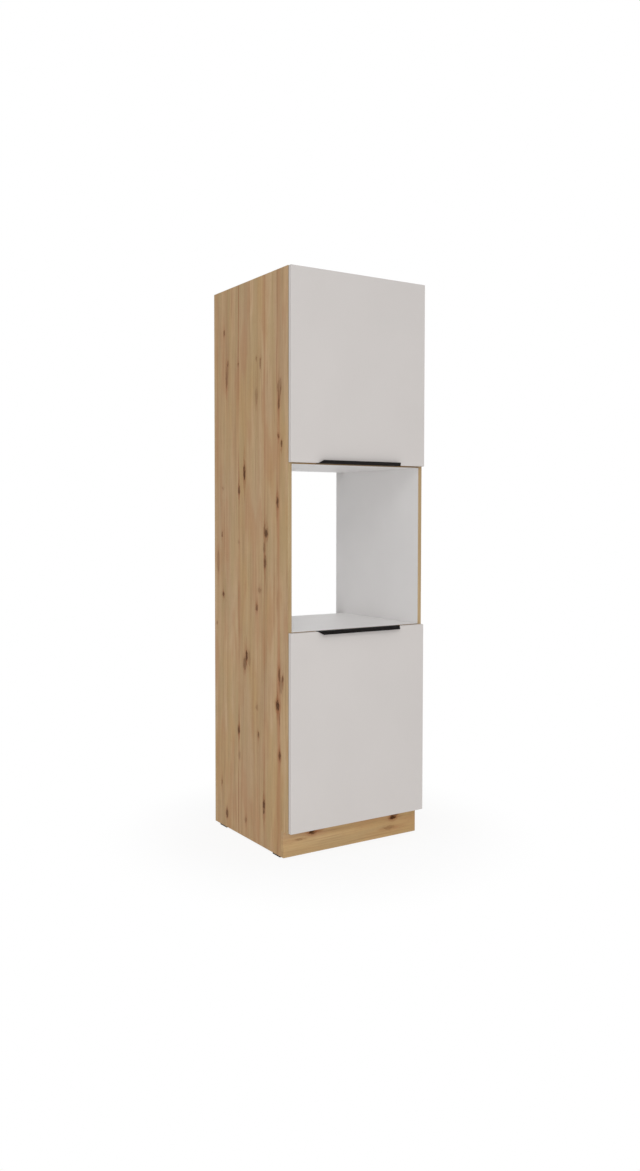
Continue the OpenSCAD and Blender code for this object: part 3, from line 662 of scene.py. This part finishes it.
def build_carcass():
    dress_side("side_panel_left", OAK_LEFT, LOW)
    dress_side("side_panel_right", OAK_RIGHT, HIGH)
    for node in ("top_panel", "bottom_panel", "niche_floor_board", "niche_ceiling_board",
                 "upper_shelf", "lower_shelf"):
        dress_level_board(node)
    dress_plinth("plinth_board")
    for node in ("back_panel_upper", "back_panel_lower"):
        dress_back(node)
    dress("side_edge_bands", OAK_EDGE_UPRIGHT, radius=BAND_EASE)
    dress("board_edge_bands", OAK_EDGE_LEVEL_SHADED, radius=BAND_EASE)
    dress("shelf_edge_bands", WHITE_EDGE, radius=BAND_EASE)
    dress("foot_glides", PLASTIC, radius=GLIDE_EASE, shortest=GLIDE_SHORTEST)


def build_doors():
    for door in ("upper", "lower"):
        dress_door("door_" + door)
        dress("handle_" + door, POWDER_COAT, radius=BAND_EASE)


def paint(finish, *nodes):
    """Gives CAD nodes that keep their mesh their finish."""
    for node in nodes:
        NODES[node].data.materials.clear()
        NODES[node].data.materials.append(finish)


def paint_fittings():
    paint(NICKEL, "cam_bolts", "shelf_pins", "hinge_plates", "plate_screws", "hinge_arms",
          "hinge_links_upper", "hinge_links_lower", "hinge_cups_upper", "hinge_cups_lower")
    paint(ZINC, "glide_nails", "cam_housings", "back_nails", "wall_brackets", "bracket_screws",
          "arm_screws", "hinge_pins", "cup_screws_upper", "cup_screws_lower")
    paint(POWDER_COAT, "handle_screws_upper", "handle_screws_lower")
    paint(SILICONE, "bumpers_upper", "bumpers_lower")
    paint(BEECH, "dowels")


# ---- Camera, light and floor ----

def place_camera():
    """The photograph's view, solved from the cabinet's own straight edges."""
    data = bpy.data.cameras.new("camera")
    data.sensor_width = SENSOR_MM
    data.lens = SENSOR_MM * FOCAL_LENGTH / PHOTO_H
    data.shift_x = (PHOTO_W / 2 - LENS_AXIS[0]) / PHOTO_H
    data.shift_y = (LENS_AXIS[1] - PHOTO_H / 2) / PHOTO_H
    camera = bpy.data.objects.new("camera", data)
    level = math.cos(CAMERA_PITCH)
    ahead = Vector((math.sin(CAMERA_YAW) * level, math.cos(CAMERA_YAW) * level,
                    math.sin(CAMERA_PITCH)))
    camera.location = CAMERA_AT
    camera.rotation_euler = ahead.to_track_quat("-Z", "Y").to_euler()
    bpy.context.scene.collection.objects.link(camera)
    bpy.context.scene.camera = camera


def seen_directly(tree):
    """1 where the eye, a reflection or a clear piece sees the stage, and 0 for its light."""
    path = tree.add("LightPath").outputs
    direct = tree.math("MAXIMUM", path["Is Camera Ray"], path["Is Glossy Ray"])
    return tree.math("MAXIMUM", direct, path["Is Transmission Ray"])


def light_world():
    """Light from all round with more of it from ahead, and a white background."""
    world = bpy.data.worlds.new("studio")
    world.use_nodes = True
    bpy.context.scene.world = world
    tree = Tree(world.node_tree)
    direction = tree.add("TexCoord").outputs["Generated"]
    ahead = tree.math("MAXIMUM", tree.vector("DOT_PRODUCT", direction, AMBIENT_AHEAD), 0.0)
    strength = tree.math("ADD", ahead, AMBIENT)
    light = tree.add("Background", {"Color": WHITE, "Strength": strength})
    white = tree.add("Background", {"Color": WHITE})
    share = seen_directly(tree)
    both = tree.add("MixShader", {0: share, 1: light.outputs[0], 2: white.outputs[0]})
    tree.add("OutputWorld", {"Surface": both.outputs[0]})


def add_lamp(name, kind, direction, **settings):
    """A lamp that shines along a direction."""
    data = bpy.data.lights.new(name, kind)
    for key, value in settings.items():
        setattr(data, key, value)
    lamp = bpy.data.objects.new(name, data)
    lamp.rotation_euler = direction.to_track_quat("-Z", "Y").to_euler()
    bpy.context.scene.collection.objects.link(lamp)
    return lamp


def light_cabinet():
    """The soft lamp at half height, and the wide light from higher up."""
    key = add_lamp("key", "AREA", LAMP_TARGET - KEY_AT, shape="SQUARE", size=KEY_WIDTH,
                   energy=KEY_POWER)
    key.location = KEY_AT
    key.visible_camera = False
    add_lamp("high", "SUN", -HIGH_LAMP_FROM, energy=HIGH_LAMP_STRENGTH,
             angle=HIGH_LAMP_SPREAD)


def floor_finish():
    """Pale floor that keeps the shadow close to the cabinet and turns white further out."""
    material = bpy.data.materials.new("floor")
    material.use_nodes = True
    tree = Tree(material.node_tree)
    away = tree.vector("LENGTH", tree.add("TexCoord").outputs["Object"])
    lit = tree.add("BsdfDiffuse", {"Color": FLOOR_COLOUR})
    white = tree.add("Emission", {"Color": WHITE, "Strength": 1.0})
    plain = tree.span(away, *SHADOW_FADE, 1.0 - SHADOW_SHARE, 1.0)
    share = tree.math("MULTIPLY", plain, seen_directly(tree))
    both = tree.add("MixShader", {0: share, 1: lit.outputs[0], 2: white.outputs[0]})
    tree.add("OutputMaterial", {"Surface": both.outputs[0]})
    return material


def lay_floor():
    """A wide round floor, a hair below the glides."""
    mesh = bmesh.new()
    bmesh.ops.create_circle(mesh, cap_ends=True, segments=FLOOR_SIDES, radius=FLOOR_RADIUS)
    data = bpy.data.meshes.new("floor")
    mesh.to_mesh(data)
    mesh.free()
    data.materials.append(floor_finish())
    floor = bpy.data.objects.new("floor", data)
    floor.location.z = -FLOOR_DROP
    bpy.context.scene.collection.objects.link(floor)


place_camera()
light_world()
light_cabinet()
lay_floor()
build_carcass()
build_doors()
paint_fittings()

bpy.context.view_layer.update()
bpy.context.scene.view_settings.view_transform = "Standard"
